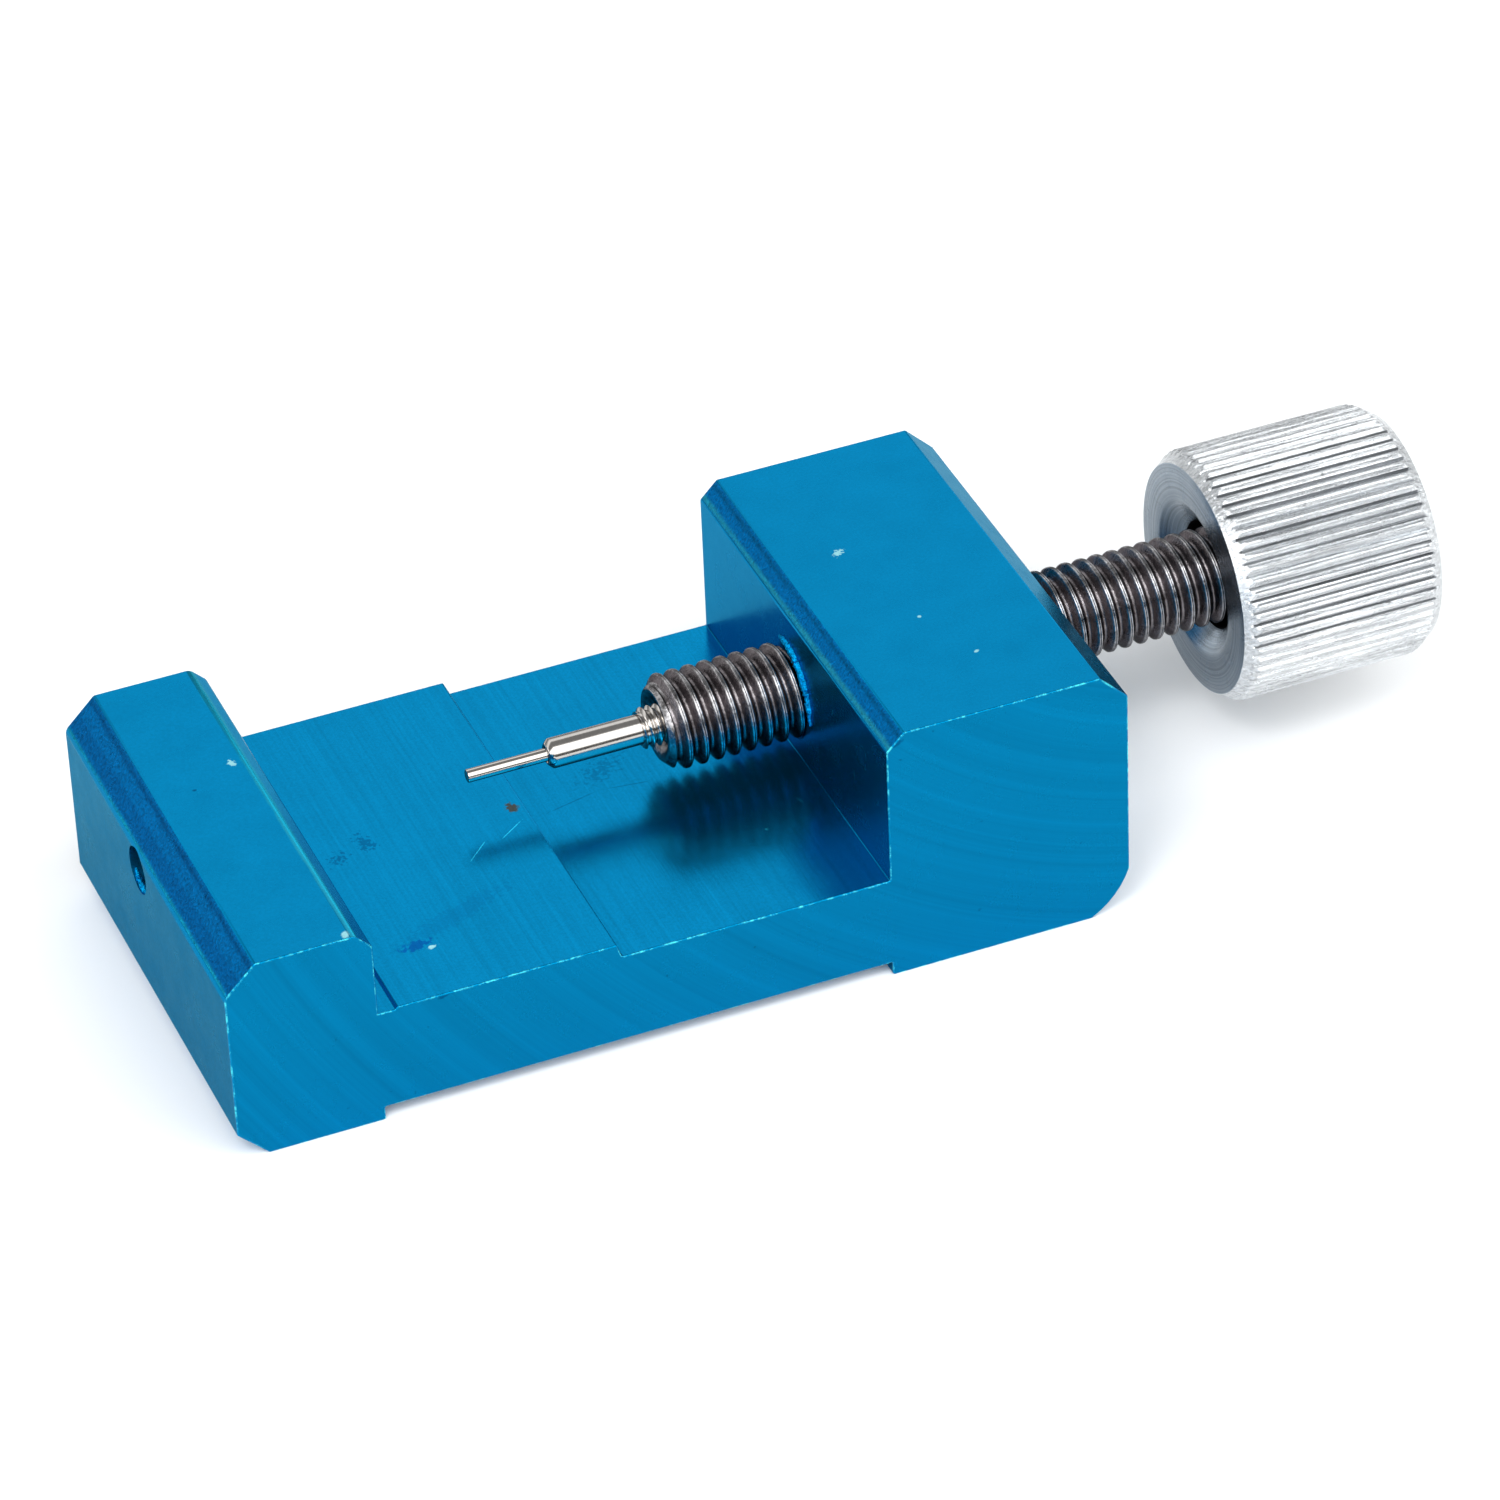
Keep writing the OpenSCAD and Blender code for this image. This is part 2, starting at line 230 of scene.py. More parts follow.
class Nodes:
    """A short way to wire a node material. Positions inside it are in millimetres."""

    def __init__(self, name):
        self.material = bpy.data.materials.new(name)
        self.material.use_nodes = True
        self.tree = self.material.node_tree
        self.tree.nodes.clear()
        self.output = self.add("ShaderNodeOutputMaterial")
        self.shader = self.add("ShaderNodeBsdfPrincipled")
        self.link(self.shader.outputs["BSDF"], self.output.inputs["Surface"])
        self.place = self.scaled(self.add("ShaderNodeTexCoord").outputs["Object"], (1000, 1000, 1000))

    def add(self, kind, **inputs):
        node = self.tree.nodes.new(kind)
        for key, value in inputs.items():
            node.inputs[key.replace("_", " ")].default_value = value
        return node

    def link(self, a, b):
        self.tree.links.new(a, b)

    def set(self, **values):
        for key, value in values.items():
            self.shader.inputs[key.replace("_", " ")].default_value = value

    def math(self, kind, a, b=None):
        m = self.tree.nodes.new("ShaderNodeMath")
        m.operation = kind
        for socket, value in zip(m.inputs, (a, b)):
            if isinstance(value, (int, float)):
                socket.default_value = value
            elif value is not None:
                self.link(value, socket)
        return m.outputs[0]

    def scaled(self, vector, factors):
        m = self.tree.nodes.new("ShaderNodeVectorMath")
        m.operation = "MULTIPLY"
        self.link(vector, m.inputs[0])
        m.inputs[1].default_value = factors
        return m.outputs[0]

    def noise(self, cells, detail=4.0, rough=0.6):
        """Noise with the given number of cells per millimetre along X, Y and Z."""
        n = self.add("ShaderNodeTexNoise", Scale=1.0, Detail=detail, Roughness=rough)
        self.link(self.scaled(self.place, cells), n.inputs["Vector"])
        return n.outputs["Fac"]

    def arcs(self, centre, cells, detail):
        """Noise that is constant along circles about a line parallel to Y."""
        d = self.tree.nodes.new("ShaderNodeVectorMath")
        d.operation = "DISTANCE"
        self.link(self.scaled(self.place, (1, 0, 1)), d.inputs[0])
        d.inputs[1].default_value = (centre[0], 0, centre[1])
        n = self.add("ShaderNodeTexNoise", Scale=cells, Detail=detail, Roughness=0.7)
        n.noise_dimensions = "1D"
        self.link(d.outputs["Value"], n.inputs["W"])
        return n.outputs["Fac"]

    def spread(self, value, low, high, to_low=0.0, to_high=1.0):
        """Stretches low..high to to_low..to_high, and holds what lies beyond."""
        m = self.add("ShaderNodeMapRange")
        for key, v in zip(("From Min", "From Max", "To Min", "To Max"), (low, high, to_low, to_high)):
            m.inputs[key].default_value = v
        self.link(value, m.inputs["Value"])
        return m.outputs["Result"]

    def mix(self, share, a, b):
        """Colour a where share is 0, b where it is 1; each a tuple or a socket."""
        m = self.add("ShaderNodeMix")
        m.data_type = "RGBA"
        for key, v in (("A", a), ("B", b)):
            socket = [i for i in m.inputs if i.name == key and i.type == "RGBA"][0]
            if isinstance(v, tuple):
                socket.default_value = (*v, 1)
            else:
                self.link(v, socket)
        self.link(share, m.inputs["Factor"])
        return [o for o in m.outputs if o.type == "RGBA"][0]

    def toned(self, colour, layers):
        """colour made lighter and darker by (noise, share) layers, each about its middle."""
        total = None
        for noise, share in layers:
            part = self.math("MULTIPLY", self.math("SUBTRACT", noise, 0.5), 2 * share)
            total = part if total is None else self.math("ADD", total, part)
        m = self.tree.nodes.new("ShaderNodeVectorMath")
        m.operation = "SCALE"
        if isinstance(colour, tuple):
            m.inputs[0].default_value = colour
        else:
            self.link(colour, m.inputs[0])
        self.link(self.math("ADD", total, 1.0), m.inputs["Scale"])
        return m.outputs[0]

    def mark(self, at, size, turn, ragged, axis):
        """A mask for one oval mark, in millimetres: where, how large, and turned by degrees about axis."""
        m = self.tree.nodes.new("ShaderNodeMapping")
        m.vector_type = "TEXTURE"
        m.inputs["Location"].default_value = at
        spin = [0, 0, 0]
        spin["XYZ".index(axis)] = math.radians(turn)
        m.inputs["Rotation"].default_value = spin
        m.inputs["Scale"].default_value = size
        self.link(self.place, m.inputs["Vector"])
        d = self.tree.nodes.new("ShaderNodeVectorMath")
        d.operation = "LENGTH"
        self.link(m.outputs[0], d.inputs[0])
        wander = self.math("MULTIPLY", self.math("SUBTRACT", self.noise((4, 4, 4), 3), 0.5), ragged)
        return self.spread(self.math("ADD", d.outputs["Value"], wander), 1, 1 - MARK_SOFTNESS)

    def bump(self, height, strength, distance, under=None):
        """A bump of distance millimetres, on top of the normal under it if there is one."""
        b = self.add("ShaderNodeBump", Strength=strength, Distance=distance * MM)
        self.link(height, b.inputs["Height"])
        if under is not None:
            self.link(under, b.inputs["Normal"])
        return b.outputs["Normal"]


BLUE = (0.0, 0.2, 0.42)
# The edge colour on the next line is partly worn dye and partly a painted highlight.
WORN_EDGE_HIGHLIGHT = (0.06, 0.62, 0.72)
RIM_TINT = (0.3, 0.54, 0.6)
SAW_CENTRE = (X0 + 64, 40)
BRIGHT, DARK, WORN = (0.03, 0.6, 0.9), (0.0, 0.09, 0.22), (0.3, 0.62, 0.68)
# The pale colour on the next line is a painted highlight stripe along bevel edges.
BROWN, SPOT, PALE_HIGHLIGHT = (0.055, 0.06, 0.058), (0.0, 0.12, 0.28), (0.02, 0.28, 0.42)
RUBBED, STAIN, SCUFF = (0.0, 0.175, 0.385), (0.0, 0.1, 0.34), (0.0, 0.15, 0.33)
# Bevel stripes: the rim colour is a painted highlight; the shade, end and line colours are painted shade.
BEVEL, BEVEL_RIM_HIGHLIGHT, BEVEL_SHADE = (0.0, 0.15, 0.42), (0.01, 0.3, 0.45), (0.0, 0.12, 0.36)
BEVEL_END_SHADE, BEVEL_LINE_SHADE = (0.0, 0.09, 0.27), (0.0, 0.1, 0.26)


def anodised(name, layers, bumps=(), *, rough, tint=1.0, marks=()):
    """Dyed anodised aluminium.

    layers are (noise, share) and bumps (height, depth in millimetres); marks are (mask, colour), laid on
    before the layers. Noises, heights and masks are functions of the node builder.
    """
    n = Nodes(name)
    n.set(Metallic=0.94, Specular_Tint=(*RIM_TINT, 1))
    colour = tuple(tint * c for c in BLUE)
    for mark, shade in marks:
        colour = n.mix(mark(n), colour, shade)
    colour = n.toned(colour, [(noise(n), share) for noise, share in layers])
    n.link(colour, n.shader.inputs["Base Color"])
    n.link(n.spread(n.noise((0.4, 0.4, 0.4), 6), 0.3, 0.7, *rough), n.shader.inputs["Roughness"])
    normal = n.bump(n.noise((5, 5, 5), 2), 0.1, 0.006)
    for height, depth in bumps:
        normal = n.bump(height(n), 1.0, depth, normal)
    n.link(normal, n.shader.inputs["Normal"])
    return n.material


def cloud(n):
    """Slow changes of shade, over about a centimetre."""
    return n.noise((0.09, 0.09, 0.09), 4)


def grain(n):
    """Fine grit of the blasted surface."""
    return n.spread(n.noise((6, 6, 6), 3, 0.7), 0.33, 0.67)


def pits(n):
    """Mostly level, with a few small dark pits."""
    return n.spread(n.noise((2.2, 2.2, 2.2), 3, 0.6), 0.24, 0.30, 0.0, 0.5)


def cutter_lines(n):
    """Fine lines across the block, left by the milling cutter."""
    return n.spread(n.noise((4.2, 0.03, 0.03), 5, 0.8), 0.3, 0.7)


def cutter_bands(n):
    return n.noise((0.7, 0.02, 0.02), 3, 0.6)


def saw_lines(n):
    """Fine arcs left by the saw on the sides."""
    return n.arcs(SAW_CENTRE, 3.5, 4)


def saw_bands(n):
    return n.arcs(SAW_CENTRE, 0.55, 2)


def metal(name, tint, rough, layers, bumps=(), rim=1.0):
    """Bare metal; rim below 1 keeps it darker where it is seen edge-on."""
    n = Nodes(name)
    n.set(Metallic=1.0, Specular_Tint=(rim, rim, rim, 1))
    n.link(n.toned(tint, [(noise(n), share) for noise, share in layers]), n.shader.inputs["Base Color"])
    n.link(n.spread(n.noise((0.6, 0.6, 0.6), 5), 0.3, 0.7, *rough), n.shader.inputs["Roughness"])
    normal = None
    for height, depth in bumps:
        normal = n.bump(height(n), 1.0, depth, normal)
    if normal is not None:
        n.link(normal, n.shader.inputs["Normal"])
    return n.material


def speckle(n):
    """Fine uneven shade of oiled steel."""
    return n.spread(n.noise((3.5, 3.5, 3.5), 5, 0.75), 0.3, 0.7)


def roll_marks(n):
    """Marks left along the knob by the knurling wheel."""
    return n.spread(n.noise((0.25, 5, 5), 5, 0.75), 0.3, 0.7)


def nicks(n):
    """Level, with a few small dark dents."""
    return n.spread(n.noise((0.9, 1.6, 1.6), 3, 0.6), 0.26, 0.3, 0.0, 0.5)


def turning(n):
    """Rings left by the lathe, square to the screw axis."""
    return n.noise((9, 0.3, 0.3), 4, 0.8)


def face_rings(n):
    """Rings left on the knob's face by the lathe, about the screw axis."""
    split = n.tree.nodes.new("ShaderNodeSeparateXYZ")
    n.link(n.place, split.inputs[0])
    across = n.math("SUBTRACT", split.outputs["Y"], AXIS_Y)
    above = n.math("SUBTRACT", split.outputs["Z"], AXIS_Z)
    square = n.math("ADD", n.math("MULTIPLY", across, across), n.math("MULTIPLY", above, above))
    rings = n.add("ShaderNodeTexNoise", Scale=1.0, Detail=4.0, Roughness=0.7)
    rings.noise_dimensions = "1D"
    n.link(n.math("MULTIPLY", n.math("SQRT", square), 6.0), rings.inputs["W"])
    return n.spread(rings.outputs["Fac"], 0.3, 0.7)


def plain(name, tint, rough):
    """One colour, not metal."""
    n = Nodes(name)
    n.set(Base_Color=(*tint, 1), Roughness=rough)
    return n.material


# ---------------------------------------------------------------- the block
def block_outline():
    """The block's side view from the anvil's foot round: x, z and how much the corner is rounded."""
    corners = [
        (FOOT_ANVIL, 0, 0.15),
        (0, FOOT_ANVIL, 0.2),
        (0, ANVIL_H - ANVIL_OUTER, 0.7),
        (ANVIL_OUTER, ANVIL_H, 0.25),
        (ANVIL_L - ANVIL_INNER, ANVIL_H, 0.6),
        (ANVIL_L, ANVIL_H - ANVIL_INNER, 0.5),
        (ANVIL_L, UPPER_FLOOR - RELIEF_D, 0.04),
        (ANVIL_L + RELIEF_W - RELIEF_D, UPPER_FLOOR - RELIEF_D, 0.05),
        (ANVIL_L + RELIEF_W, UPPER_FLOOR, 0.12),
        (STEP_AT, UPPER_FLOOR, 0.12),
        (STEP_AT + STEP_RUN, LOWER_FLOOR, 0.12),
        (WALL, LOWER_FLOOR, 0.06),
        (WALL, BLOCK_H - THREADED_INNER, 0.3),
        (WALL + THREADED_INNER, BLOCK_H, 0.16),
        (BLOCK_L - THREADED_OUTER, BLOCK_H, 0.2),
        (BLOCK_L, BLOCK_H - THREADED_OUTER, 0.2),
    ]
    corners += [(*foot_round(i / FOOT_STEPS), 0.2) for i in range(FOOT_STEPS + 1)]
    corners += [(WALL, 0, 0.15), (WALL, FOOT_RECESS, 0.1), (ANVIL_L, FOOT_RECESS, 0.1), (ANVIL_L, 0, 0.15)]
    return rounded(corners)


def rounded(corners):
    """Replaces each corner of a closed outline by an arc of its own radius."""
    points = []
    count = len(corners)
    for i, (x, z, radius) in enumerate(corners):
        here = Vector((x, z))
        before = (Vector(corners[i - 1][:2]) - here).normalized()
        after = (Vector(corners[(i + 1) % count][:2]) - here).normalized()
        half_angle = before.angle(after) / 2
        reach = radius / math.tan(half_angle)
        centre = here + (before + after).normalized() * radius / math.sin(half_angle)
        first, last = here + before * reach - centre, here + after * reach - centre
        for k in range(ARC_STEPS + 1):
            points.append(centre + first.lerp(last, k / ARC_STEPS).normalized() * radius)
    return points


def inset(points, depth):
    """Moves a closed outline inwards; the solid lies on the right of the outline's direction."""
    moved = []
    count = len(points)
    for i, here in enumerate(points):
        a = (here - points[i - 1]).normalized()
        b = (points[(i + 1) % count] - here).normalized()
        normal = Vector((a.y + b.y, -a.x - b.x)).normalized()
        moved.append(here + normal * depth / max(0.5, normal.dot(Vector((b.y, -b.x)))))
    return moved


def foot_round(t):
    """A point on the bulging bevel under the threaded end."""
    out = 4 * FOOT_BULGE * t * (1 - t) / math.hypot(FOOT_RUN, FOOT_RISE)
    return BLOCK_L - FOOT_RUN * t + out * FOOT_RISE, FOOT_RISE * (1 - t) - out * FOOT_RUN


def block_blank():
    """The block before drilling: the outline swept across, with its end edges rounded."""
    outline = block_outline()
    half = BLOCK_W / 2
    soft = [(EDGE_SOFTNESS * (1 - math.cos(a)), EDGE_SOFTNESS * (1 - math.sin(a)))
            for a in (0, math.pi / 6, math.pi / 3, math.pi / 2)]
    layers = [(-half + y, depth) for y, depth in soft]
    layers += [(half - y, depth) for y, depth in reversed(soft)]
    bm = bmesh.new()
    rings = [[bm.verts.new((X0 + p.x, y, p.y)) for p in inset(outline, depth)] for y, depth in layers]
    for a, b in zip(rings, rings[1:]):
        join_rings(bm, a, b)
    bm.faces.new(rings[0])
    bm.faces.new(rings[-1][::-1])
    return bm


def block():
    solid = temporary(block_blank(), "block_blank")

    cutter = bmesh.new()
    helix(cutter, nut_start(), 20, nut_profile(), PITCH, NUT_STEPS)
    cut(solid, temporary(cutter, "nut_cutter"))

    drill = bmesh.new()
    ends = X0 - 1, X0 + ANVIL_L + 1
    lathe(drill, [(ends[0], 0), (ends[0], EXIT_R), (ends[1], EXIT_R), (ends[1], 0)], 64)
    bmesh.ops.translate(drill, vec=(0, EXIT_SHIFT, -EXIT_DROP), verts=drill.verts)
    cut(solid, temporary(drill, "exit_drill"))

    bm = bmesh.new()
    bm.from_mesh(solid.data)
    bpy.data.objects.remove(solid)
    bm.normal_update()
    for f in bm.faces:
        f.material_index = block_finish(f)
    burr(bm, WALL_X - 0.02, (AXIS_Y, AXIS_Z), THREAD_R + CREST_GAP + 0.24, (70, 190), 0.3, seed=3)
    exit_centre = (AXIS_Y + EXIT_SHIFT, AXIS_Z - EXIT_DROP)
    for span, seed in (((85, 200), 5), ((225, 330), 8)):
        burr(bm, X0 + 0.26, exit_centre, EXIT_R - 0.04, span, 0.23, seed)
    finishes = [smooth_finish(), milled_finish(), sawn_finish(), blasted_finish(), edge_finish(),
                bore_finish(), burr_finish()]
    piece("block", bm, "block", "body", finishes, sharp=40, prismatic=True)


def burr(bm, x, centre, radius, span, size, seed):
    """A ragged ridge of pushed-up metal along part of a hole's edge; span in degrees."""
    rng = random.Random(seed)
    rings = []
    count, sides = 48, 6
    for k in range(count + 1):
        angle = math.radians(span[0] + (span[1] - span[0]) * k / count)
        fade = math.sin(math.pi * k / count) ** 0.4
        half = size * (0.12 + fade * rng.uniform(0.45, 0.95))
        reach = radius + rng.uniform(-0.15, 0.15) * size
        ring = []
        for j in range(sides):
            turn = TAU * j / sides
            r = reach + half * math.cos(turn)
            ring.append(bm.verts.new((x + half * math.sin(turn), centre[0] + r * math.cos(angle),
                                      centre[1] + r * math.sin(angle))))
        rings.append(ring)
    old = set(bm.faces)
    for a, b in zip(rings, rings[1:]):
        join_rings(bm, a, b)
    bm.faces.new(rings[0])
    bm.faces.new(rings[-1][::-1])
    made = [f for f in bm.faces if f not in old]
    bmesh.ops.recalc_face_normals(bm, faces=made)
    for f in made:
        f.material_index = BURR


def oval(at, size, turn=0.0, axis="Z", ragged=1.2):
    """A mark at a place measured from the anvil's outer face, for use in a finish."""
    place = (X0 + at[0], at[1], at[2])
    return lambda n: n.mark(place, size, turn, ragged, axis)


def band(n, start, end):
    """A soft stripe across the block, between two distances from the anvil's outer face."""
    split = n.tree.nodes.new("ShaderNodeSeparateXYZ")
    n.link(n.place, split.inputs[0])
    away = n.math("ABSOLUTE", n.math("SUBTRACT", split.outputs["X"], X0 + (start + end) / 2))
    wander = n.math("MULTIPLY", n.math("SUBTRACT", n.noise((2, 0.6, 2), 4), 0.5), 0.25)
    half = (end - start) / 2
    return n.spread(n.math("ADD", away, wander), half + 0.08, half - 0.08)


def smooth_finish():
    marks = [
        # A pale stripe where the anvil's top turns into its inner bevel: a painted highlight.
        (lambda n: band(n, ANVIL_L - ANVIL_INNER - 0.2, ANVIL_L - ANVIL_INNER + 0.25), PALE_HIGHLIGHT),
        (oval((7.0, 4.3, ANVIL_H), (0.22, 0.3, 0.4), ragged=3), WORN),
        (oval((44.65, 3.9, BLOCK_H), (0.4, 0.3, 0.4), 30, ragged=4), WORN),
        (oval((46.4, -4.0, BLOCK_H), (0.14, 0.14, 0.4)), WORN),
        (oval((48.0, -8.5, BLOCK_H), (0.2, 0.12, 0.4), 20), WORN),
        (oval((4.2, 2.7, ANVIL_H), (0.15, 0.1, 0.4)), DARK),
        (oval((7.4, -13.6, ANVIL_H - 0.2), (0.3, 0.4, 0.5)), WORN),
        (oval((40.0, -6.0, 13.5), (0.3, 0.1, 0.35), 25, "X"), BRIGHT),
        (oval((40.0, -9.0, 11.0), (0.3, 0.07, 0.4), -30, "X"), BRIGHT),
    ]
    return anodised("anodised_smooth", [(cloud, 0.08), (grain, 0.06)], rough=(0.2, 0.3), marks=marks)


def milled_finish():
    marks = [
        (oval((15.6, -7.6, UPPER_FLOOR), (4.4, 0.8, 1), 22, ragged=3), RUBBED),
        (oval((12.9, -9.2, UPPER_FLOOR), (0.9, 0.45, 1), 10, ragged=3), STAIN),
        (oval((13.7, -9.65, UPPER_FLOOR), (0.35, 0.14, 1), 10, ragged=3), WORN),
        (oval((22.5, 0.7, UPPER_FLOOR), (0.4, 0.55, 1), 20, ragged=2.5), BROWN),
        (oval((19.2, -2.4, UPPER_FLOOR), (1.1, 0.035, 1), 45), BRIGHT),
        (oval((21.7, -1.3, UPPER_FLOOR), (1.1, 0.03, 1), 36), BRIGHT),
        (oval((26.3, 0.85, LOWER_FLOOR), (1.9, 0.035, 1), 13), DARK),
        (oval((29.8, 1.0, LOWER_FLOOR), (1.7, 0.03, 1), -8), DARK),
        (oval((11.6, 0.3, UPPER_FLOOR), (0.6, 0.4, 1), 40, ragged=7), SPOT),
        (oval((13.6, 1.1, UPPER_FLOOR), (0.4, 0.7, 1), 15, ragged=7), SPOT),
        (oval((28.9, 3.1, LOWER_FLOOR), (1.2, 0.6, 1), 30, ragged=8), SCUFF),
        (oval((35.5, -6.4, LOWER_FLOOR), (0.16, 0.12, 1)), BRIGHT),
        (oval((38.3, -4.6, LOWER_FLOOR), (0.06, 0.35, 1), 20), BRIGHT),
    ]
    layers = [(cloud, 0.08), (cutter_lines, 0.12), (cutter_bands, 0.05), (grain, 0.08), (pits, 0.3)]
    return anodised("anodised_milled", layers, [(cutter_lines, 0.0015)], rough=(0.18, 0.25), marks=marks)


def sawn_finish():
    marks = [
        (oval((40.6, -BLOCK_W / 2, 16.4), (0.5, 0.4, 0.25), -20, "Y"), DARK),
        (oval((12.8, -BLOCK_W / 2, UPPER_FLOOR - 0.1), (0.5, 0.4, 0.16), -20, "Y"), DARK),
    ]
    layers = [(cloud, 0.05), (saw_lines, 0.12), (saw_bands, 0.14), (pits, 0.3)]
    # tint 0.82 darkens the front and back faces: painted shade.
    return anodised("anodised_sawn", layers, [(saw_lines, 0.006)],
                    rough=(0.24, 0.34), tint=0.82, marks=marks)


def blasted_finish():
    marks = [
        # Stripes along the bevels: the rim and pale stripes are painted highlights; the shade, end and
        # line stripes are painted shade.
        (lambda n: band(n, 0.0, WALL + THREADED_INNER), BEVEL),
        (lambda n: band(n, 0.0, 0.2), BEVEL_RIM_HIGHLIGHT),
        (lambda n: band(n, 0.3, 0.95), BEVEL_SHADE),
        (lambda n: band(n, 1.55, 1.75), BEVEL_END_SHADE),
        (lambda n: band(n, WALL + 0.1, WALL + 0.3), PALE_HIGHLIGHT),
        (lambda n: band(n, WALL + 0.78, WALL + 0.92), BEVEL_LINE_SHADE),
    ]
    return anodised("anodised_blasted", [(cloud, 0.1), (grain, 0.4)], [(grain, 0.02)],
                    rough=(0.25, 0.35), marks=marks)


def edge_finish():
    """The softened edges: pale cyan dots, partly worn-through dye and partly a painted highlight."""
    n = Nodes("anodised_edge")
    n.set(Metallic=1.0, Roughness=0.4)
    dots = n.spread(n.noise((1.6, 1.6, 1.6), 4, 0.8), 0.5, 0.62)
    n.link(n.mix(dots, BLUE, WORN_EDGE_HIGHLIGHT), n.shader.inputs["Base Color"])
    n.link(n.bump(n.noise((4, 4, 4), 3), 1.0, 0.03), n.shader.inputs["Normal"])
    return n.material


def burr_finish():
    # tint 1.6 lightens the burrs: a painted highlight on the raised metal.
    return anodised("anodised_burr", [(cloud, 0.1), (grain, 0.5)], [(grain, 0.05)],
                    rough=(0.3, 0.45), tint=1.6)


def bore_finish():
    # tint 0.8 darkens the bores: painted shade inside the holes.
    return anodised("anodised_bore", [(cloud, 0.1), (grain, 0.2)], tint=0.8, rough=(0.25, 0.35))


SMOOTH, MILLED, SAWN, BLASTED, EDGE, BORE, BURR = range(7)


def block_finish(f):
    """Which of the block's finishes a face has, from where it is and which way it faces; burrs aside."""
    n = f.normal
    c = f.calc_center_median()
    if abs(n.y) > 0.99:
        return SAWN
    if WALL_X + 0.01 < c.x < END_X - 0.01 and from_axis(c) < THREAD_R + CREST_GAP + 0.05:
        return BORE
    drilled = math.hypot(c.y - AXIS_Y - EXIT_SHIFT, c.z - AXIS_Z + EXIT_DROP)
    if c.x < X0 + ANVIL_L - 0.01 and drilled < EXIT_R - 0.001:
        return BORE
    if abs(c.y) > BLOCK_W / 2 - EDGE_SOFTNESS and abs(n.y) > 0.05:
        return EDGE
    if n.z > 0.95 and c.z < ANVIL_H - 2:
        return MILLED
    over_anvil = c.x < X0 + ANVIL_OUTER - 0.05 and c.z > ANVIL_H - ANVIL_OUTER + 0.1
    over_wall = WALL_X + 0.1 < c.x < WALL_X + THREADED_INNER - 0.05 and c.z > BLOCK_H - THREADED_INNER
    if (over_anvil or over_wall) and n.z > 0.3:
        return BLASTED
    return SMOOTH


def nut_profile():
    """The block's thread: the screw's tooth with room on its flanks and crests."""
    top = CREST_W + 2 * FLANK_GAP - 2 * CREST_GAP * FLANK_SLOPE
    flank = THREAD_DEPTH * FLANK_SLOPE
    low = 1 - top - 2 * flank
    r_low, r_high = ROOT_R + CREST_GAP, THREAD_R + CREST_GAP
    return [(0, r_low), (low, r_low), (low + flank, r_high), (low + flank + top, r_high)]


def nut_start():
    """Where the block's thread starts, so that its groove lies on the screw's tooth."""
    ahead = math.floor((WALL_X - SCREW_X) / PITCH) - 2
    return SCREW_X + ahead * PITCH + (rod_low() - nut_profile()[1][0]) / 2


def rod_low():
    """Width of the screw's root along its axis."""
    return 1 - CREST_W - 2 * THREAD_DEPTH * FLANK_SLOPE


# ---------------------------------------------------------------- the screw
def rod_profile():
    """One pitch of rolled thread: rounded root, straight flanks, a full crest with a seam along it."""
    low = rod_low()
    flank = THREAD_DEPTH * FLANK_SLOPE
    crest = low + flank
    end = crest + CREST_W
    return [
        (0, ROOT_R + ROOT_FILLET),
        (low * 0.5, ROOT_R),
        (low, ROOT_R + ROOT_FILLET),
        (low + flank * 0.2, ROOT_R + THREAD_DEPTH * 0.2),
        (low + flank * 0.75, ROOT_R + THREAD_DEPTH * 0.75),
        (crest, THREAD_R - CREST_FILLET),
        (crest + CREST_W * 0.12, THREAD_R - 0.02),
        (crest + CREST_W * 0.3, THREAD_R - 0.002),
        (crest + CREST_W * 0.44, THREAD_R - 0.015),
        (crest + CREST_W * 0.5, THREAD_R - 0.05),
        (crest + CREST_W * 0.56, THREAD_R - 0.015),
        (crest + CREST_W * 0.7, THREAD_R - 0.002),
        (crest + CREST_W * 0.88, THREAD_R - 0.02),
        (end, THREAD_R - CREST_FILLET),
        (end + flank * 0.25, ROOT_R + THREAD_DEPTH * 0.75),
        (end + flank * 0.8, ROOT_R + THREAD_DEPTH * 0.2),
    ]


